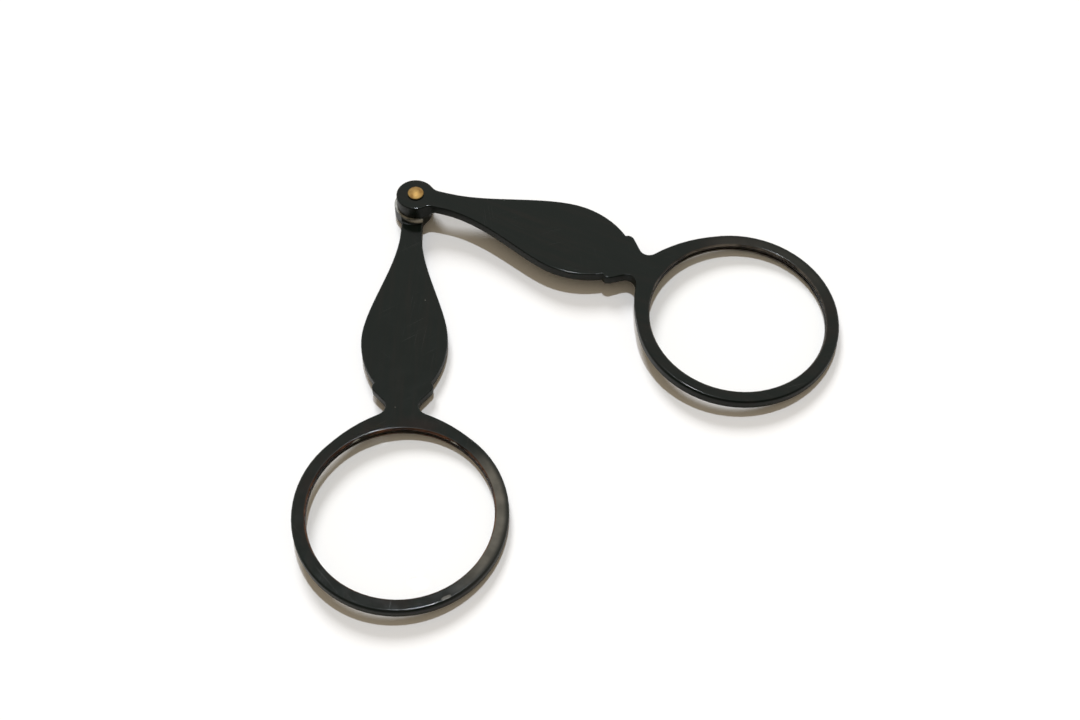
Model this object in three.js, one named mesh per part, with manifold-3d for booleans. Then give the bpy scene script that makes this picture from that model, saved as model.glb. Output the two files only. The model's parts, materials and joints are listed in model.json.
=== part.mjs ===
// Scissors spectacles: two flat horn arms, each a lens rim, a leaf-shaped handle and a knuckle in one plate,
// lapped at one brass rivet. Millimetres, +Z up. The origin is the middle of the open pair, on the table.
// The upper arm lies on the +X side and the lower arm on the -X side, with the rivet towards +Y.
import * as THREE from "three";
import { mergeVertices } from "three/addons/utils/BufferGeometryUtils.js";
import Module from "manifold-3d";

// Driving dimensions, in millimetres and degrees
const PLATE_THICKNESS = 2.5;
const EDGE_CHAMFER = 0.3;
const OPEN_ANGLE = 65.5; // between the two arms, as they lie
const CLEARANCE = 0.15; // between pieces that touch or turn on each other

// Rim and lens
const OPENING_RADIUS = 18.8;
const RIM_WIDTH = 2.8;
const RIM_OUTER_ROUNDING = 0.6;
const RIM_INNER_ROUNDING = 0.4;
const GROOVE_DEPTH = 0.7;
const GROOVE_WIDTH = 1.2;
const LENS_CROWN = 0.5; // height of each convex face over the lens's edge

// Handle, from the knuckle to the rim
const KNUCKLE_RADIUS = 4.2;
const KNUCKLE_FILLET = 2.5;
const NECK_WIDTH = 4.7;
const NECK_LENGTH = 2.4; // straight stretch between the knuckle's fillet and the leaf
const LEAF_LENGTH = 28.9; // from the neck to the widest place
const LEAF_WIDTH = 18.4;
const LEAF_FLARE = 10; // reach of the hollow curve at the neck
const LEAF_SWELL = 8; // reach of the full curve at the widest place
const SHOULDER_LENGTH = 10.6; // from the widest place to the notches
const NOTCH_WIDTH = 11.9; // across the two notches
const BEAD_RADIUS = 1.4;
const BEAD_TILT = 43; // how high on the bead's round the notch meets it
const BEAD_SLOPE = 42; // slant of the straight stretch from the bead to the cove
const COVE_RADIUS = 2.1;
const COVE_WIDTH = 6.9; // across the two coves of a straight arm
const COVE_GAP = 2.8; // from the middle of the coves to the rim's round
const FLARE_EXCESS = 9.7; // how much larger the round of the flares is than the rim's
const LOWER_BOW = 0.7; // how far the handle's middle line bows outward in its plane
const UPPER_BOW = 3.8;
const LOWER_SHIFT = 0.7; // how far the knuckle's middle lies outward of the rivet
const UPPER_SHIFT = -0.1;

// Lap joint
const BOSS_HEIGHT = 0.9; // raised round face on the inner side of each knuckle
const BOSS_LAP = 0.3; // how far it runs past the knuckle's round, over the neck
const BOSS_FILLET = 0.9;
const RIVET_RADIUS = 1;
const HEAD_LIP = 0.8; // how far the domed head reaches past the shank
const HEAD_HEIGHT = 0.6;
const HEAD_EDGE = 0.15; // upright edge under the dome
const FOOT_LIP = 0.7; // the same for the countersunk foot, flush under the lower arm
const FOOT_DEPTH = 0.8;

// Smoothness of round stretches
const FACET_SAG = 0.02; // how far a facet of an outline may lie under its arc
const RIM_SEGMENTS = 72;
const RIVET_SEGMENTS = 32;
const LEAF_STEPS = 14;
const LENS_RINGS = 3;
const WELD_DISTANCE = 1e-4; // corners closer than this are one corner

const wasm = await Module();
wasm.setup();

// Sizes that follow from the driving dimensions
const half = (width) => width / 2;
const radians = THREE.MathUtils.degToRad;
const rimRadius = OPENING_RADIUS + RIM_WIDTH;
const outerRounding = Math.min(RIM_OUTER_ROUNDING, half(PLATE_THICKNESS), half(RIM_WIDTH));
const knuckleThickness = PLATE_THICKNESS + BOSS_HEIGHT;
const stackHeight = 2 * knuckleThickness + CLEARANCE;
const boreRadius = RIVET_RADIUS + CLEARANCE;

// The flares run out just under the rim's rounded edge.
const flareRadius = rimRadius - outerRounding * (1 - Math.SQRT1_2);
const filletX = Math.sqrt(
  (KNUCKLE_RADIUS + KNUCKLE_FILLET) ** 2 - (half(NECK_WIDTH) + KNUCKLE_FILLET) ** 2,
);
const leafStartX = filletX + NECK_LENGTH;
const widestX = leafStartX + LEAF_LENGTH;
const notchX = widestX + SHOULDER_LENGTH;
const beadX = notchX + BEAD_RADIUS * Math.cos(radians(BEAD_TILT));
const beadY = half(NOTCH_WIDTH) - BEAD_RADIUS * Math.sin(radians(BEAD_TILT));
const coveY = half(COVE_WIDTH) + COVE_RADIUS;
const beadToCove = BEAD_RADIUS + COVE_RADIUS; // both radii, square to the straight stretch between the rounds
const slopeAngle = radians(BEAD_SLOPE);
const slopeDrop = beadY - coveY + beadToCove * Math.cos(slopeAngle);
const coveX = beadX + beadToCove * Math.sin(slopeAngle) + slopeDrop / Math.tan(slopeAngle);
const armLength = coveX + COVE_GAP + rimRadius;

const directionTo = (from, to) => Math.atan2(to.y - from.y, to.x - from.x);

const pointAt = (centre, distance, angle) =>
  new THREE.Vector2(centre.x + distance * Math.cos(angle), centre.y + distance * Math.sin(angle));

// Points of an arc about a centre, from one angle to another, both ends included.
function arc(centre, radius, from, to) {
  const facetAngle = 2 * Math.acos(1 - FACET_SAG / radius);
  const steps = Math.max(2, Math.ceil(Math.abs(to - from) / facetAngle));
  const angleAt = (step) => from + ((to - from) * step) / steps;
  return Array.from({ length: steps + 1 }, (_, i) => pointAt(centre, radius, angleAt(i)));
}

// Moves a point of the straight arm to the bowed one, whose middle line is a parabola from the knuckle to the
// rim's centre that bulges towards -Y, the outer side of an arm. The knuckle is shifted to that side too.
function bowed(point, { bow, shift }) {
  const along = point.x / armLength;
  const rise = -4 * bow * along * (1 - along) - shift * (1 - along);
  const slope = (shift - 4 * bow * (1 - 2 * along)) / armLength;
  const stretch = Math.hypot(1, slope);
  return new THREE.Vector2(point.x - (point.y * slope) / stretch, rise + point.y / stretch);
}

// The +Y flank of the straight handle: knuckle, fillet, neck, leaf and shoulder down to the notch.
function straightFlank() {
  const fillet = new THREE.Vector2(filletX, half(NECK_WIDTH) + KNUCKLE_FILLET);
  const filletAngle = fillet.angle();
  const leaf = new THREE.CubicBezierCurve(
    new THREE.Vector2(leafStartX, half(NECK_WIDTH)),
    new THREE.Vector2(leafStartX + LEAF_FLARE, half(NECK_WIDTH)),
    new THREE.Vector2(widestX - LEAF_SWELL, half(LEAF_WIDTH)),
    new THREE.Vector2(widestX, half(LEAF_WIDTH)),
  );
  const drop = half(LEAF_WIDTH - NOTCH_WIDTH);
  const shoulderRadius = (SHOULDER_LENGTH ** 2 + drop ** 2) / (2 * drop);
  const shoulder = new THREE.Vector2(widestX, half(LEAF_WIDTH) - shoulderRadius);
  const notch = new THREE.Vector2(notchX, half(NOTCH_WIDTH));
  return [
    ...arc(new THREE.Vector2(), KNUCKLE_RADIUS, Math.PI, filletAngle),
    ...arc(fillet, KNUCKLE_FILLET, filletAngle - Math.PI, -Math.PI / 2).slice(1),
    ...leaf.getPoints(LEAF_STEPS),
    ...arc(shoulder, shoulderRadius, Math.PI / 2, directionTo(shoulder, notch)).slice(1),
  ];
}

// Centre of the round of a flare, which touches the cove from outside and takes in the rim's round.
function flareCentre(cove, rim) {
  const reach = cove.distanceTo(rim);
  const toCove = flareRadius + FLARE_EXCESS + COVE_RADIUS;
  const turn = Math.acos((FLARE_EXCESS ** 2 + reach ** 2 - toCove ** 2) / (2 * FLARE_EXCESS * reach));
  return pointAt(rim, FLARE_EXCESS, directionTo(rim, cove) + turn);
}

// One whole flank of a bowed arm, ending inside the rim. Side +1 is the left of the arm, -1 its right.
function flank(side, form) {
  const sided = (point) => new THREE.Vector2(point.x, side * point.y);
  const placed = (x, y) => sided(bowed(sided(new THREE.Vector2(x, y)), form));
  const handle = straightFlank().map((point) => placed(point.x, point.y));
  const notch = handle[handle.length - 1];
  const bead = placed(beadX, beadY);
  const cove = placed(coveX, coveY);
  const rim = new THREE.Vector2(armLength, 0);
  const slope = directionTo(bead, cove) - Math.asin(beadToCove / bead.distanceTo(cove));
  const flare = flareCentre(cove, rim);
  return [
    ...handle,
    ...arc(bead, BEAD_RADIUS, directionTo(bead, notch), slope + Math.PI / 2).slice(1),
    ...arc(cove, COVE_RADIUS, slope - Math.PI / 2, directionTo(cove, flare)),
    ...arc(flare, flareRadius + FLARE_EXCESS, directionTo(flare, cove), directionTo(flare, rim)).slice(1),
  ].map(sided);
}

// Outline of the handle, closed across the middle of the rim's width.
function handleShape(form) {
  const left = flank(1, form);
  const right = flank(-1, form).slice(1).reverse();
  const rim = new THREE.Vector2(armLength, 0);
  const inner = rimRadius - half(RIM_WIDTH);
  const bridge = arc(
    rim,
    inner,
    directionTo(rim, left[left.length - 1]),
    2 * Math.PI + directionTo(rim, right[0]),
  );
  return new THREE.Shape([...left, ...bridge, ...right]);
}

// Closed geometry to a solid for joining and cutting.
function solid(geometry) {
  const bare = geometry.clone();
  bare.deleteAttribute("normal");
  bare.deleteAttribute("uv");
  const merged = mergeVertices(bare, WELD_DISTANCE);
  return new wasm.Manifold(
    new wasm.Mesh({
      numProp: 3,
      vertProperties: new Float32Array(merged.getAttribute("position").array),
      triVerts: new Uint32Array(merged.getIndex().array),
    }),
  );
}

function toGeometry(body) {
  const mesh = body.getMesh();
  const geometry = new THREE.BufferGeometry();
  geometry.setAttribute("position", new THREE.BufferAttribute(mesh.vertProperties, 3));
  geometry.setIndex(new THREE.BufferAttribute(mesh.triVerts, 1));
  geometry.computeVertexNormals();
  return geometry;
}

// A profile of [radius, height] points turned about the Z axis; it climbs on its outer side.
function turned(profile, segments) {
  const points = profile.map(([radius, height]) => new THREE.Vector2(radius, height));
  return new THREE.LatheGeometry(points, segments).rotateX(Math.PI / 2);
}

// Flat handle, with a fine chamfer round both faces.
function handlePlate(form) {
  return solid(
    new THREE.ExtrudeGeometry(handleShape(form), {
      depth: PLATE_THICKNESS - 2 * EDGE_CHAMFER,
      bevelThickness: EDGE_CHAMFER,
      bevelSize: EDGE_CHAMFER,
      bevelOffset: -EDGE_CHAMFER,
      bevelSegments: 1,
    }).translate(0, 0, EDGE_CHAMFER),
  );
}

// Raised round face of the knuckle, hollowed down to the neck and trimmed to the handle's outline.
function boss(form) {
  const radius = KNUCKLE_RADIUS + BOSS_LAP;
  const fillet = Math.min(BOSS_FILLET, BOSS_HEIGHT);
  const root = half(PLATE_THICKNESS);
  const hollow = arc(
    new THREE.Vector2(radius + fillet, PLATE_THICKNESS + fillet), fillet, -Math.PI / 2, -Math.PI,
  );
  const profile = [
    [0, root],
    [radius + fillet, root],
    ...hollow.map((point) => [point.x, point.y]),
    [radius, knuckleThickness],
    [0, knuckleThickness],
  ];
  const column = new THREE.ExtrudeGeometry(handleShape(form), {
    depth: knuckleThickness + BOSS_HEIGHT,
    bevelEnabled: false,
  });
  return solid(turned(profile, RIM_SEGMENTS).translate(0, -form.shift, 0)).intersect(solid(column));
}

// Ring of the rim, with rounded edges and a V-groove for the lens in its inner wall.
function rimRing() {
  const outer = outerRounding;
  const inner = Math.min(RIM_INNER_ROUNDING, half(PLATE_THICKNESS - GROOVE_WIDTH));
  const top = PLATE_THICKNESS;
  const middle = half(PLATE_THICKNESS);
  const corner = (radius, height, size, from) =>
    arc(new THREE.Vector2(radius, height), size, from, from + Math.PI / 2).map((point) => [point.x, point.y]);
  const profile = [
    ...corner(rimRadius - outer, outer, outer, -Math.PI / 2),
    ...corner(rimRadius - outer, top - outer, outer, 0),
    ...corner(OPENING_RADIUS + inner, top - inner, inner, Math.PI / 2),
    [OPENING_RADIUS, middle + half(GROOVE_WIDTH)],
    [OPENING_RADIUS + GROOVE_DEPTH, middle],
    [OPENING_RADIUS, middle - half(GROOVE_WIDTH)],
    ...corner(OPENING_RADIUS + inner, inner, inner, Math.PI),
  ];
  profile.push(profile[0]);
  return solid(turned(profile, RIM_SEGMENTS).translate(armLength, 0, 0));
}

// Room for the rivet's shank, and for its countersunk foot where the arm carries it.
function rivetBore(withFoot) {
  const slant = FOOT_LIP / FOOT_DEPTH;
  const mouth = RIVET_RADIUS + FOOT_LIP + CLEARANCE * Math.hypot(1, slant);
  const sink = withFoot ? [[mouth, 0], [boreRadius, (mouth - boreRadius) / slant]] : [[boreRadius, 0]];
  const profile = [
    [0, -BOSS_HEIGHT],
    [sink[0][0], -BOSS_HEIGHT],
    ...sink,
    [boreRadius, knuckleThickness + BOSS_HEIGHT],
    [0, knuckleThickness + BOSS_HEIGHT],
  ];
  return solid(turned(profile, RIVET_SEGMENTS));
}

// One arm, with its outer face down and its boss up.
function armGeometry(form) {
  const body = handlePlate(form).add(boss(form)).add(rimRing());
  return toGeometry(body.subtract(rivetBore(form.withFoot)));
}

// Lens with two convex faces and a bevelled edge that lies in the groove.
function lensGeometry() {
  const slant = half(GROOVE_WIDTH) / GROOVE_DEPTH;
  const edge = half(GROOVE_WIDTH) - CLEARANCE * Math.hypot(1, slant);
  const middle = half(PLATE_THICKNESS);
  const ballRadius = (OPENING_RADIUS ** 2 + LENS_CROWN ** 2) / (2 * LENS_CROWN);
  const face = Array.from({ length: LENS_RINGS + 1 }, (_, i) => {
    const radius = (OPENING_RADIUS * i) / LENS_RINGS;
    const height = Math.sqrt(ballRadius ** 2 - radius ** 2) - ballRadius + LENS_CROWN;
    return [radius, edge + height];
  });
  const profile = [
    ...face.map(([radius, height]) => [radius, middle - height]),
    [OPENING_RADIUS + edge / slant, middle],
    ...face.map(([radius, height]) => [radius, middle + height]).reverse(),
  ];
  return turned(profile, RIM_SEGMENTS).translate(armLength, 0, 0);
}

// Rivet: countersunk foot, shank and domed head over the upper arm.
function rivetGeometry() {
  const seat = stackHeight + CLEARANCE;
  const headRadius = RIVET_RADIUS + HEAD_LIP;
  const rise = HEAD_HEIGHT - HEAD_EDGE;
  const ballRadius = (headRadius ** 2 + rise ** 2) / (2 * rise);
  const ball = new THREE.Vector2(0, seat + HEAD_HEIGHT - ballRadius);
  const dome = arc(ball, ballRadius, Math.acos(headRadius / ballRadius), Math.PI / 2);
  const profile = [
    [0, 0],
    [RIVET_RADIUS + FOOT_LIP, 0],
    [RIVET_RADIUS, FOOT_DEPTH],
    [RIVET_RADIUS, seat],
    [headRadius, seat],
    ...dome.slice(0, -1).map((point) => [point.x, point.y]),
    [0, seat + HEAD_HEIGHT],
  ];
  return turned(profile, RIVET_SEGMENTS);
}

const horn = () => new THREE.MeshStandardMaterial({ color: 0x262724, roughness: 0.35, metalness: 0 });
const brass = () => new THREE.MeshStandardMaterial({ color: 0xc9a15c, roughness: 0.35, metalness: 1 });
const glass = () =>
  new THREE.MeshStandardMaterial({
    color: 0xf4f8f5, roughness: 0.05, metalness: 0, transparent: true, opacity: 0.25,
  });

function piece(name, geometry, material) {
  const mesh = new THREE.Mesh(geometry, material);
  mesh.name = name;
  return mesh;
}

// An arm and its lens, in a group of their own.
function armWithLens(name, form) {
  const group = new THREE.Group();
  group.add(piece(`${name}_arm`, armGeometry(form), horn()));
  group.add(piece(`${name}_lens`, lensGeometry(), glass()));
  return group;
}

// The lower arm lies flat on the table, and the upper one is turned over on top of it.
function spectacles() {
  const halfAngle = radians(half(OPEN_ANGLE));
  const joint = new THREE.Group();
  const knuckleRise = Math.max(LOWER_SHIFT, UPPER_SHIFT) * Math.sin(halfAngle);
  joint.position.y = half(armLength * Math.cos(halfAngle) + rimRadius - KNUCKLE_RADIUS - knuckleRise);

  const lower = armWithLens("lower", { bow: LOWER_BOW, shift: LOWER_SHIFT, withFoot: true });
  lower.rotation.z = -Math.PI / 2 - halfAngle;

  const upper = new THREE.Group();
  const turnedOver = armWithLens("upper", { bow: UPPER_BOW, shift: UPPER_SHIFT, withFoot: false });
  turnedOver.rotation.x = Math.PI;
  upper.add(turnedOver);
  upper.position.z = stackHeight;
  upper.rotation.z = -Math.PI / 2 + halfAngle;

  joint.add(lower, upper, piece("pivot_rivet", rivetGeometry(), brass()));
  return new THREE.Group().add(joint);
}

export default spectacles();
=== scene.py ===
import json
import math

import bpy
from mathutils import Matrix, Quaternion, Vector


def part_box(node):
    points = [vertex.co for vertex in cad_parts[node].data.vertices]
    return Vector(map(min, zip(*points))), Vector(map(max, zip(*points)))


# Scissors spectacles of dark polished horn, lying open on a white table.
# Lengths are in metres, in the frame of the solids, unless a comment says millimetres.
MM = 0.001

# Camera: its place, the point that it looks at, and its turn about that line
CAMERA_PLACE = Vector((-97.99, -150.05, 272.72)) * MM
CAMERA_AIM = Vector((2.22, -7.22, 0.0)) * MM
CAMERA_ROLL = math.radians(2.63)
CAMERA_LENS = 50.65
CAMERA_SENSOR = 36.0
CAMERA_CLIP_START = 0.01

# Table: the pair tips until the upper rim touches it too, so it leans against the plates' plane
TABLE_LEAN = math.radians(3.26)
TABLE_LEAN_TOWARDS = math.radians(160.7)
TABLE_HALF_SIZE = 1.5
TABLE_COLOUR = (0.95, 0.95, 0.95, 1)

# Lamps: degrees up and to the side, strength, width in degrees, and colour
HARD_LAMP = dict(elevation=74, side=-6, strength=1.5, angle=2, colour=(0.88, 0.93, 1.0))
SOFT_LAMP = dict(elevation=38, side=-18, strength=2.15, angle=20, colour=(0.95, 0.97, 1.0))

# Room: its radiance for matt surfaces, its walls, and its dark side behind the camera
ROOM_FILL = (0.33, 0.275, 0.2, 1)
ROOM_WALLS = (1, 1, 1, 1)
DARK_SIDE = 0.1

# Shading of the solids' facets
WELD_DISTANCE = 0.001 * MM
SHARP_ANGLE = math.radians(60)
FLAT_ANGLE = math.radians(0.4)

# Horn colours
HORN_DARK = (0.0046, 0.0072, 0.005, 1)
HORN_BROWN = (0.0082, 0.0085, 0.006, 1)
RIM_CLOUD = (0.013, 0.0085, 0.006, 1)
# Painted sheen on one side of the lower rim
PAINTED_RIM_SHEEN = (0.115, 0.106, 0.086, 1)
# Painted glints: pale spots in place of reflections of the lamps
PAINTED_GLINT = (0.3, 0.29, 0.26, 1)
SCRATCHED = (0.04, 0.038, 0.033, 1)
# Bare edges, paled into a painted highlight along the arrises
BARE_EDGE_AND_GLINT = (0.085, 0.076, 0.06, 1)
# Dust, with a painted sheen, round the lower boss
DUST_AND_SHEEN = (0.42, 0.42, 0.39, 1)
GRAIN = (0.22, 0.21, 0.18, 1)

# Painted glow of light through the inner walls of the rims, from their dark clouds to their pale
# ones
LOWER_WALL_GLOW = ((0.012, 0.007, 0.0045, 1), (0.13, 0.05, 0.02, 1))
UPPER_WALL_GLOW = ((0.035, 0.03, 0.025, 1), (0.16, 0.14, 0.115, 1))

# How much of each mark's colour shows
SCRATCH_SHARE = 0.32
BARE_EDGE_AND_GLINT_SHARE = 0.8
GRAIN_SHARE = 0.6

# Horn gloss: the roughness of polished faces, what marks add to it, and that of sawn sides
HORN_SPECULAR = 0.17
POLISHED_ROUGHNESS = (0.09, 0.15)
MARK_ROUGHNESS = 0.18
SAWN_ROUGHNESS = 0.42

# Sawn sides face up or down by less than this: steep sides only on an arm with no wear, and
# with full wear all but the level faces
SAWN_UNWORN = 0.5
SAWN_WORN = 0.999
SAWN_BLEND = 0.02

# Waves and scratches in the polish
RELIEF_STRENGTH = 0.15
RELIEF_DEPTH = 0.03 * MM
SCRATCH_DEPTH_SHARE = 0.08
SCRATCH_TURNS = (0.15, 1.0, -0.7)

# Sizes on the horn, in millimetres: opening of a rim, rubbed arris with its painted highlight, and
# painted glints
OPENING_RADIUS = 18.8
BARE_EDGE_AND_GLINT_WIDTH = 0.3
GLINT_WIDTH = 0.35
GLINT_LENGTH = 0.9

# Painted glints on the lower rim: degrees round it from its far end, and in millimetres their
# distance from its middle and their height, and then their paleness
LOWER_GLINTS = ((211.5, 18.9, 2.0, 1.0), (147.0, 18.95, 2.0, 1.0), (27.5, 20.8, 2.5, 0.35))

# Dust and painted sheen round the lower boss, in millimetres: the radii where it sets in and
# where it ends, and the height that it stays below
DUST_AND_SHEEN_START = (4.2, 4.4)
DUST_AND_SHEEN_END = (4.7, 5.0)
DUST_AND_SHEEN_TOP = (3.4, 3.6)

# Brass, with painted shade at the edge of the rivet's head from and to these radii in millimetres
BRASS = (0.345, 0.212, 0.069, 1)
TARNISH = (0.23, 0.12, 0.036, 1)
BRASS_EDGE_SHADE = (0.03, 0.022, 0.01, 1)
BRASS_EDGE_SHADE_SHARE = 0.85
BRASS_EDGE_SHADE_RADII = (1.55, 1.8)
BRASS_ROUGHNESS = (0.45, 0.6)

# Glass. It bends light less than real glass does, because seen from low down a solid lens of
# full strength mirrors the dark rim over half its face.
LENS_CLEAR = (0.985, 0.99, 0.985, 1)
LENS_SEAT = (0.008, 0.006, 0.004, 1)
LENS_INDEX = 1.12
SMEAR_ROUGHNESS = 0.02

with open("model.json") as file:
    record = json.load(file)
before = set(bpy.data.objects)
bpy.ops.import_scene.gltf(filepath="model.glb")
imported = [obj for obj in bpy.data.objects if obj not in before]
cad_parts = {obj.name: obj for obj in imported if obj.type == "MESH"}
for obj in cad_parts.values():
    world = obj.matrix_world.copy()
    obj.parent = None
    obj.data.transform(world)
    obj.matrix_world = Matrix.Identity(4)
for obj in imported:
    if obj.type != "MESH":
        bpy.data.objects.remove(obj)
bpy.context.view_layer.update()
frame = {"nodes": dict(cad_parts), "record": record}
nodes = frame["nodes"]
pivot = Vector(frame["record"]["behaviour"]["joints"][0]["pos_m"])


# Small helpers for node trees

def add_node(tree, kind, **values):
    node = tree.nodes.new(kind)
    for name, value in values.items():
        setattr(node, name, value)
    return node


def feed(tree, socket, value):
    """Links an output to a socket, or sets the socket to a plain value."""
    if isinstance(value, bpy.types.NodeSocket):
        tree.links.new(value, socket)
    else:
        socket.default_value = value


def new_material(name):
    material = bpy.data.materials.new(name)
    material.use_nodes = True
    material.node_tree.nodes.clear()
    return material, material.node_tree


def finish_material(tree, shader):
    output = add_node(tree, "ShaderNodeOutputMaterial")
    tree.links.new(shader.outputs[0], output.inputs[0])


def calculate(tree, operation, first, second=0.0):
    node = add_node(tree, "ShaderNodeMath", operation=operation)
    feed(tree, node.inputs[0], first)
    feed(tree, node.inputs[1], second)
    return node.outputs[0]


def multiplied(tree, value, *others):
    for other in others:
        value = calculate(tree, "MULTIPLY", value, other)
    return value


def largest(tree, value, *others):
    for other in others:
        value = calculate(tree, "MAXIMUM", value, other)
    return value


def spread(tree, value, low, high, start=0.0, end=1.0):
    """Start where the value is low, end where it is high, and smooth between them."""
    node = add_node(tree, "ShaderNodeMapRange", interpolation_type="SMOOTHSTEP")
    feed(tree, node.inputs["Value"], value)
    limits = (("From Min", low), ("From Max", high), ("To Min", start), ("To Max", end))
    for name, number in limits:
        node.inputs[name].default_value = number
    return node.outputs["Result"]


def noise(tree, vector, scale, detail, seed=0.0):
    node = add_node(tree, "ShaderNodeTexNoise", noise_dimensions="4D")
    for name, content in (("Vector", vector), ("Scale", scale), ("Detail", detail), ("W", seed)):
        feed(tree, node.inputs[name], content)
    return node.outputs["Fac"]


def mapped(tree, vector, scale=(1, 1, 1), turn=0.0, place=(0, 0, 0)):
    """Scales a vector, then turns it about Z, then moves it."""
    node = add_node(tree, "ShaderNodeMapping")
    feed(tree, node.inputs["Vector"], vector)
    for name, content in (("Scale", scale), ("Rotation", (0, 0, turn)), ("Location", place)):
        node.inputs[name].default_value = content
    return node.outputs[0]


def blended(tree, share, first, second):
    node = add_node(tree, "ShaderNodeMix", data_type="RGBA")
    feed(tree, node.inputs["Factor"], share)
    feed(tree, node.inputs[6], first)
    feed(tree, node.inputs[7], second)
    return node.outputs[2]


def component(tree, vector, axis):
    parts = add_node(tree, "ShaderNodeSeparateXYZ")
    feed(tree, parts.inputs[0], vector)
    return parts.outputs[axis]


def facing_up(tree):
    """How far the surface faces up: 1 where it looks up, 0 on an upright side."""
    return component(tree, add_node(tree, "ShaderNodeNewGeometry").outputs["Normal"], "Z")


def place_in_mm(tree, origin, turn=0.0):
    """Place on the solids in millimetres, turned about Z, with its zero at the origin."""
    where = add_node(tree, "ShaderNodeTexCoord").outputs["Object"]
    start = Matrix.Rotation(turn, 3, "Z") @ origin / MM
    return mapped(tree, where, scale=(1 / MM,) * 3, turn=turn, place=-start)


def round_distance(tree, place, along=0.0):
    """Distance from an upright line that stands on the X axis of the place."""
    flat = add_node(tree, "ShaderNodeVectorMath", operation="MULTIPLY")
    feed(tree, flat.inputs[0], place)
    flat.inputs[1].default_value = (1, 1, 0)
    far = add_node(tree, "ShaderNodeVectorMath", operation="DISTANCE")
    feed(tree, far.inputs[0], flat.outputs[0])
    far.inputs[1].default_value = (along, 0, 0)
    return far.outputs["Value"]


# Modifiers that join the facets of a solid and shade its round stretches smoothly

def welding_group():
    """Drops stored normals, joins facets, and shades all but the sharp corners smoothly."""
    group = bpy.data.node_groups.new("welded", "GeometryNodeTree")
    group.interface.new_socket("Geometry", in_out="INPUT", socket_type="NodeSocketGeometry")
    group.interface.new_socket("Geometry", in_out="OUTPUT", socket_type="NodeSocketGeometry")
    start = add_node(group, "NodeGroupInput")
    plain = add_node(group, "GeometryNodeRemoveAttribute")
    plain.inputs["Name"].default_value = "custom_normal"
    weld = add_node(group, "GeometryNodeMergeByDistance")
    weld.inputs["Distance"].default_value = WELD_DISTANCE
    smooth_faces = add_node(group, "GeometryNodeSetShadeSmooth", domain="FACE")
    smooth_edges = add_node(group, "GeometryNodeSetShadeSmooth", domain="EDGE")
    bend = add_node(group, "GeometryNodeInputMeshEdgeAngle")
    slight = add_node(group, "FunctionNodeCompare", data_type="FLOAT", operation="LESS_THAN")
    group.links.new(bend.outputs["Unsigned Angle"], slight.inputs[0])
    slight.inputs[1].default_value = SHARP_ANGLE
    group.links.new(slight.outputs[0], smooth_edges.inputs["Shade Smooth"])
    end = add_node(group, "NodeGroupOutput")
    chain = [start, plain, weld, smooth_faces, smooth_edges, end]
    for before, after in zip(chain, chain[1:]):
        group.links.new(before.outputs[0], after.inputs[0])
    return group


def shade_smoothly(node, group, with_flats):
    """Joins a node's facets and shades it smoothly, apart from its sharp corners.

    With flats, it also makes one face of each flat stretch, so that the shading leaves it flat.
    """
    weld = node.modifiers.new("weld", "NODES")
    weld.node_group = group
    if with_flats:
        flats = node.modifiers.new("flats", "DECIMATE")
        flats.decimate_type = "DISSOLVE"
        flats.angle_limit = FLAT_ANGLE
    normals = node.modifiers.new("normals", "WEIGHTED_NORMAL")
    normals.keep_sharp = True


# Horn. A place on an arm is in millimetres: X from the rivet to the middle of the lens, Z up.

def arm_place(tree, lens):
    """Place on an arm, and the length from its rivet to the middle of its lens."""
    low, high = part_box(lens)
    reach = (low + high) / 2 - pivot
    turn = -math.atan2(reach.y, reach.x)
    place = place_in_mm(tree, Vector((pivot.x, pivot.y, 0)), turn)
    return place, math.hypot(reach.x, reach.y) / MM


def hairlines(tree, place, turn, seed):
    """Fine long scratches that run one way, in patches."""
    drawn = mapped(tree, mapped(tree, place, turn=turn), scale=(0.07, 9.0, 1.0))
    lines = spread(tree, noise(tree, drawn, 1.0, 1.0, seed), 0.68, 0.74)
    patches = spread(tree, noise(tree, place, 0.12, 2.0, seed + 3), 0.48, 0.62)
    return multiplied(tree, lines, patches)


def scratch_marks(tree, place, seed):
    """Hairlines in all their directions."""
    first, *others = SCRATCH_TURNS
    marks = hairlines(tree, place, first, seed)
    return largest(tree, marks, *(hairlines(tree, place, turn, seed + turn) for turn in others))


def specks(tree, place):
    """Tiny pale grains, far apart."""
    cells = add_node(tree, "ShaderNodeTexVoronoi")
    feed(tree, cells.inputs["Vector"], place)
    cells.inputs["Scale"].default_value = 0.3
    near = calculate(tree, "LESS_THAN", cells.outputs["Distance"], 0.035)
    pick = add_node(tree, "ShaderNodeSeparateColor")
    tree.links.new(cells.outputs["Color"], pick.inputs[0])
    return multiplied(tree, near, calculate(tree, "GREATER_THAN", pick.outputs[0], 0.7))


def worn_and_glinting_edges(tree, place, seed):
    """Patches along the arrises where the polish is rubbed off, paled into a painted highlight."""
    rounded = add_node(tree, "ShaderNodeBevel", samples=6)
    rounded.inputs["Radius"].default_value = BARE_EDGE_AND_GLINT_WIDTH * MM
    plain = add_node(tree, "ShaderNodeNewGeometry")
    alike = add_node(tree, "ShaderNodeVectorMath", operation="DOT_PRODUCT")
    tree.links.new(rounded.outputs[0], alike.inputs[0])
    tree.links.new(plain.outputs["Normal"], alike.inputs[1])
    edge = spread(tree, alike.outputs["Value"], 0.9, 0.995, 1.0, 0.0)
    patches = spread(tree, noise(tree, place, 0.5, 4.0, seed), 0.5, 0.68)
    return multiplied(tree, edge, patches)


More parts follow.
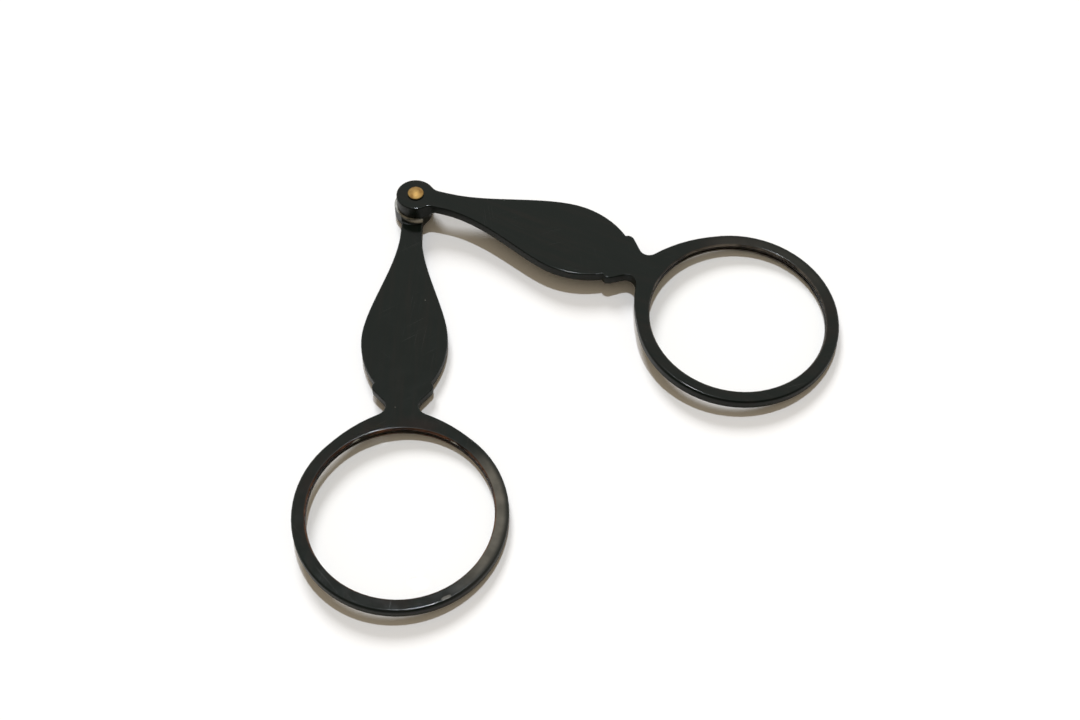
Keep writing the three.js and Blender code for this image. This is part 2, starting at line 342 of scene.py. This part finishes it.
def painted_rim_sheen(tree, place, arm_length, seed):
    """Painted sheen on the inner edge of one side of the rim, where light would reflect."""
    side = spread(tree, component(tree, place, "Y"), 9.0, 19.0)
    past_leaf = spread(tree, component(tree, place, "X"), arm_length - 16, arm_length - 8)
    rim_distance = round_distance(tree, place, arm_length)
    near = spread(tree, rim_distance, OPENING_RADIUS + 1.4, OPENING_RADIUS + 2.5, 1.0, 0.1)
    patches = spread(tree, noise(tree, place, 0.35, 6.0, seed), 0.3, 0.7, 0.6, 1.0)
    return multiplied(tree, side, past_leaf, near, patches)


def painted_glints(tree, place, arm_length, glints):
    """Small pale spots of painted glint, drawn out along the rim."""
    marks = 0.0
    for degrees, reach, height, paleness in glints:
        turn = math.radians(degrees)
        spot = Vector((arm_length + reach * math.cos(turn), reach * math.sin(turn), height))
        start = Matrix.Rotation(-turn, 3, "Z") @ spot
        outwards = mapped(tree, place, turn=-turn, place=-start)
        size = (GLINT_WIDTH, GLINT_LENGTH, GLINT_WIDTH)
        sized = mapped(tree, outwards, scale=[1 / width for width in size])
        far = add_node(tree, "ShaderNodeVectorMath", operation="LENGTH")
        feed(tree, far.inputs[0], sized)
        uneven = calculate(tree, "ADD", far.outputs["Value"], noise(tree, place, 1.5, 3.0))
        marks = largest(tree, marks, spread(tree, uneven, 1.2, 1.8, paleness, 0.0))
    return marks


def boss_dust_and_sheen(tree, place, seed):
    """Pale dust and painted sheen in the hollow round the lower arm's boss, on faces that look up.
    """
    from_rivet = round_distance(tree, place)
    start = spread(tree, from_rivet, *DUST_AND_SHEEN_START)
    end = spread(tree, from_rivet, *DUST_AND_SHEEN_END, 1.0, 0.0)
    low = spread(tree, component(tree, place, "Z"), *DUST_AND_SHEEN_TOP, 1.0, 0.0)
    settled = spread(tree, facing_up(tree), 0.1, 0.5)
    patchiness = spread(tree, noise(tree, place, 0.9, 4.0, seed), 0.35, 0.6, 0.5, 1.0)
    return multiplied(tree, start, end, low, settled, patchiness)


def horn_colour(tree, place, arm_length, seed, wear_and_sheen, wall_glow, glints):
    """Near-black horn with brown streaks, clouded on the rim, with painted glow on its inner wall.
    """
    streaks = noise(tree, mapped(tree, place, scale=(0.05, 0.8, 0.8)), 1.0, 6.0, seed)
    body = blended(tree, spread(tree, streaks, 0.42, 0.75), HORN_DARK, HORN_BROWN)
    rim_distance = round_distance(tree, place, arm_length)
    on_rim = spread(tree, rim_distance, OPENING_RADIUS + 4, OPENING_RADIUS + 1, 0.0, 0.8)
    clouds = spread(tree, noise(tree, place, 0.09, 4.0, seed + 1), 0.45, 0.7)
    body = blended(tree, multiplied(tree, on_rim, clouds), body, RIM_CLOUD)
    # Painted sheen: one side of the rim paled where light would reflect on it
    rim_sheen = painted_rim_sheen(tree, place, arm_length, seed + 6)
    body = blended(tree, multiplied(tree, rim_sheen, wear_and_sheen), body, PAINTED_RIM_SHEEN)
    # Painted glow: the inner wall paled and tinted as if light shone through the horn
    inside = spread(tree, rim_distance, OPENING_RADIUS + 0.35, OPENING_RADIUS + 0.05)
    glow = spread(tree, noise(tree, place, 0.22, 5.0, seed + 2), 0.38, 0.72)
    body = blended(tree, inside, body, blended(tree, glow, *wall_glow))
    # Painted glints: pale spots on the rim in place of reflections of the lamps
    return blended(tree, painted_glints(tree, place, arm_length, glints), body, PAINTED_GLINT)


def horn_roughness(tree, place, marks, seed, wear_and_sheen):
    """Handled polish, duller on marks and on sawn sides."""
    handled = noise(tree, place, 0.35, 5.0, seed + 4)
    polished = spread(tree, handled, 0.3, 0.7, *POLISHED_ROUGHNESS)
    roughness = calculate(tree, "ADD", polished, multiplied(tree, marks, MARK_ROUGHNESS))
    sawn_until = SAWN_UNWORN + (SAWN_WORN - SAWN_UNWORN) * wear_and_sheen
    slope = calculate(tree, "ABSOLUTE", facing_up(tree))
    sawn = spread(tree, slope, sawn_until - SAWN_BLEND, sawn_until, SAWN_ROUGHNESS, 0.0)
    return largest(tree, roughness, sawn)


def horn_relief(tree, place, scratches, seed):
    """Shallow waves in the polish, with the scratches cut into it."""
    waves = noise(tree, place, 0.18, 1.0, seed + 5)
    cuts = multiplied(tree, scratches, SCRATCH_DEPTH_SHARE)
    bump = add_node(tree, "ShaderNodeBump")
    bump.inputs["Strength"].default_value = RELIEF_STRENGTH
    bump.inputs["Distance"].default_value = RELIEF_DEPTH
    feed(tree, bump.inputs["Height"], calculate(tree, "SUBTRACT", waves, cuts))
    return bump.outputs[0]


def horn(name, lens, seed, wear_and_sheen, wall_glow, glints):
    material, tree = new_material(name)
    place, arm_length = arm_place(tree, lens)
    scratches = scratch_marks(tree, place, seed)
    bare_and_glinting_edges = worn_and_glinting_edges(tree, place, seed)
    # Pale arc round the lower boss: dust, with a painted sheen
    dust_and_sheen = boss_dust_and_sheen(tree, place, seed)
    colour = horn_colour(tree, place, arm_length, seed, wear_and_sheen, wall_glow, glints)
    for share, tint in (
        (multiplied(tree, scratches, SCRATCH_SHARE), SCRATCHED),
        # Bare edges: wear, paled into a painted highlight along the arrises
        (multiplied(tree, bare_and_glinting_edges, BARE_EDGE_AND_GLINT_SHARE), BARE_EDGE_AND_GLINT),
        (dust_and_sheen, DUST_AND_SHEEN),
        (multiplied(tree, specks(tree, place), GRAIN_SHARE), GRAIN),
    ):
        colour = blended(tree, share, colour, tint)
    marks = largest(tree, scratches, bare_and_glinting_edges, dust_and_sheen)
    shader = add_node(tree, "ShaderNodeBsdfPrincipled")
    shader.inputs["Specular IOR Level"].default_value = HORN_SPECULAR
    feed(tree, shader.inputs["Base Color"], colour)
    feed(tree, shader.inputs["Roughness"], horn_roughness(tree, place, marks, seed, wear_and_sheen))
    feed(tree, shader.inputs["Normal"], horn_relief(tree, place, scratches, seed))
    finish_material(tree, shader)
    return material


# Brass and glass

def brass():
    """Worn brass, brown where it is tarnished, with painted shade round the edge of the head."""
    material, tree = new_material("brass")
    place = place_in_mm(tree, pivot)
    stains = spread(tree, noise(tree, place, 0.8, 5.0), 0.42, 0.68)
    colour = blended(tree, stains, BRASS, TARNISH)
    # Painted shade: the head darkened round its edge, where it meets the horn
    edge = spread(tree, round_distance(tree, place), *BRASS_EDGE_SHADE_RADII)
    colour = blended(tree, multiplied(tree, edge, BRASS_EDGE_SHADE_SHARE), colour, BRASS_EDGE_SHADE)
    marks = noise(tree, mapped(tree, place, scale=(0.6, 9.0, 1.0), turn=0.6), 1.0, 2.0)
    shader = add_node(tree, "ShaderNodeBsdfPrincipled")
    shader.inputs["Metallic"].default_value = 1
    feed(tree, shader.inputs["Base Color"], colour)
    feed(tree, shader.inputs["Roughness"], spread(tree, marks, 0.3, 0.7, *BRASS_ROUGHNESS))
    finish_material(tree, shader)
    return material


def glass(name, lens):
    """Clear lens glass with faint smears, dark where its ground edge lies in the groove.

    Light falls straight through it, so the lens casts no shadow of its own.
    """
    material, tree = new_material(name)
    low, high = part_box(lens)
    place = place_in_mm(tree, (low + high) / 2)
    from_middle = round_distance(tree, place)
    clear = spread(tree, from_middle, OPENING_RADIUS - 0.15, OPENING_RADIUS - 0.05, 1.0, 0.0)
    smears = spread(tree, noise(tree, place, 0.15, 4.0), 0.45, 0.75, 0.0, SMEAR_ROUGHNESS)
    shader = add_node(tree, "ShaderNodeBsdfPrincipled")
    shader.inputs["IOR"].default_value = LENS_INDEX
    feed(tree, shader.inputs["Base Color"], blended(tree, clear, LENS_SEAT, LENS_CLEAR))
    feed(tree, shader.inputs["Transmission Weight"], clear)
    feed(tree, shader.inputs["Roughness"], smears)
    open_way = add_node(tree, "ShaderNodeBsdfTransparent")
    path = add_node(tree, "ShaderNodeLightPath")
    mix = add_node(tree, "ShaderNodeMixShader")
    lighting = largest(tree, path.outputs["Is Shadow Ray"], path.outputs["Is Diffuse Ray"])
    tree.links.new(lighting, mix.inputs[0])
    tree.links.new(shader.outputs[0], mix.inputs[1])
    tree.links.new(open_way.outputs[0], mix.inputs[2])
    finish_material(tree, mix)
    return material


def dress():
    group = welding_group()
    finish = {
        "lower_arm": horn(
            "lower horn", "lower_lens", seed=1.0, wear_and_sheen=1.0, wall_glow=LOWER_WALL_GLOW, glints=LOWER_GLINTS
        ),
        "upper_arm": horn(
            "upper horn", "upper_lens", seed=11.0, wear_and_sheen=0.15, wall_glow=UPPER_WALL_GLOW, glints=()
        ),
        "lower_lens": glass("lower glass", "lower_lens"),
        "upper_lens": glass("upper glass", "upper_lens"),
        "pivot_rivet": brass(),
    }
    for name, material in finish.items():
        nodes[name].material_slots[0].material = material
        shade_smoothly(nodes[name], group, with_flats=name.endswith("arm"))


# Table, camera and light

def direction(elevation, heading):
    """Unit vector that points up from the level by the elevation, towards the heading."""
    level = math.cos(elevation)
    return Vector((level * math.cos(heading), level * math.sin(heading), math.sin(elevation)))


def make_table():
    up = direction(math.pi / 2 - TABLE_LEAN, TABLE_LEAN_TOWARDS)
    height = min(up.dot(vertex.co) for node in nodes.values() for vertex in node.data.vertices)
    mesh = bpy.data.meshes.new("table")
    side = TABLE_HALF_SIZE
    corners = [(-side, -side, 0), (side, -side, 0), (side, side, 0), (-side, side, 0)]
    mesh.from_pydata(corners, [], [(0, 1, 2, 3)])
    table = bpy.data.objects.new("table", mesh)
    table.rotation_mode = "QUATERNION"
    table.rotation_quaternion = up.to_track_quat("Z", "Y")
    table.location = up * height
    material, tree = new_material("table")
    paper = add_node(tree, "ShaderNodeBsdfDiffuse")
    paper.inputs["Color"].default_value = TABLE_COLOUR
    finish_material(tree, paper)
    mesh.materials.append(material)
    bpy.context.scene.collection.objects.link(table)


def make_camera():
    data = bpy.data.cameras.new("camera")
    data.lens = CAMERA_LENS
    data.sensor_width = CAMERA_SENSOR
    data.clip_start = CAMERA_CLIP_START
    camera = bpy.data.objects.new("camera", data)
    camera.location = CAMERA_PLACE
    camera.rotation_mode = "QUATERNION"
    aim = (CAMERA_AIM - CAMERA_PLACE).to_track_quat("-Z", "Y")
    camera.rotation_quaternion = aim @ Quaternion((0, 0, 1), CAMERA_ROLL)
    bpy.context.scene.collection.objects.link(camera)
    bpy.context.scene.camera = camera


def photo_heading():
    """Level direction in which the photograph was taken."""
    ahead = CAMERA_AIM - CAMERA_PLACE
    return math.atan2(ahead.y, ahead.x)


def make_lamp(name, elevation, side, strength, angle, colour):
    """A lamp that shines from behind the object as the photograph shows it, turned to one side."""
    source = direction(math.radians(elevation), photo_heading() - math.radians(side))
    data = bpy.data.lights.new(name, "SUN")
    data.energy = strength
    data.angle = math.radians(angle)
    data.color = colour
    lamp = bpy.data.objects.new(name, data)
    lamp.rotation_mode = "QUATERNION"
    lamp.rotation_quaternion = source.to_track_quat("Z", "Y")
    bpy.context.scene.collection.objects.link(lamp)
    return lamp


def make_room():
    """A warm dim fill for matt surfaces, and white walls that glass and polish show.

    Polish shows the side behind the camera as dark.
    """
    world = bpy.data.worlds.new("room")
    world.use_nodes = True
    tree = world.node_tree
    tree.nodes.clear()
    path = add_node(tree, "ShaderNodeLightPath").outputs
    seen = largest(tree, path["Is Camera Ray"], path["Is Transmission Ray"])
    shown = largest(tree, seen, path["Is Glossy Ray"])
    first = calculate(tree, "LESS_THAN", path["Diffuse Depth"], 0.5)
    where = add_node(tree, "ShaderNodeTexCoord").outputs["Generated"]
    ahead = add_node(tree, "ShaderNodeVectorMath", operation="DOT_PRODUCT")
    tree.links.new(where, ahead.inputs[0])
    ahead.inputs[1].default_value = direction(0, photo_heading())
    walls = spread(tree, ahead.outputs["Value"], -0.5, 0.1, DARK_SIDE, 1.0)
    fill = add_node(tree, "ShaderNodeBackground")
    fill.inputs["Color"].default_value = ROOM_FILL
    white = add_node(tree, "ShaderNodeBackground")
    white.inputs["Color"].default_value = ROOM_WALLS
    feed(tree, white.inputs["Strength"], largest(tree, walls, seen))
    mix = add_node(tree, "ShaderNodeMixShader")
    feed(tree, mix.inputs[0], multiplied(tree, shown, first))
    tree.links.new(fill.outputs[0], mix.inputs[1])
    tree.links.new(white.outputs[0], mix.inputs[2])
    output = add_node(tree, "ShaderNodeOutputWorld")
    tree.links.new(mix.outputs[0], output.inputs[0])
    bpy.context.scene.world = world


dress()
make_table()
make_camera()
make_lamp("hard lamp", **HARD_LAMP)
soft_lamp = make_lamp("soft lamp", **SOFT_LAMP)
soft_lamp.visible_glossy = False
make_room()
bpy.context.scene.view_settings.view_transform = "Standard"
